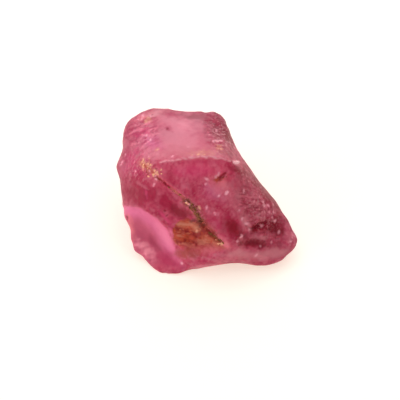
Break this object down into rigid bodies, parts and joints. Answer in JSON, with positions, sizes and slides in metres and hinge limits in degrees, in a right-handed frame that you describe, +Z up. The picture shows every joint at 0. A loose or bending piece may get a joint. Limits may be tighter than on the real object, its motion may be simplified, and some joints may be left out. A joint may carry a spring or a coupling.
{
  "type": "rhodolite garnet",
  "caption": "Rough translucent raspberry-pink garnet fragment, broken on every side, that rests on a flat break.",
  "frame": {"origin": "under the middle of the stone's box, on the surface that it rests on", "axes": "+Z up, out of the resting face; +X along the longest side, towards the pointed right end; the show face looks towards -Y and up"},
  "size_m": [0.0104, 0.0092, 0.0057],
  "materials": {
    "garnet": "translucent, clear on fresh breaks and lightly frosted on worn ones"
  },
  "bodies": {
    "root": {"garnet": "garnet"}
  },
  "joints": []
}
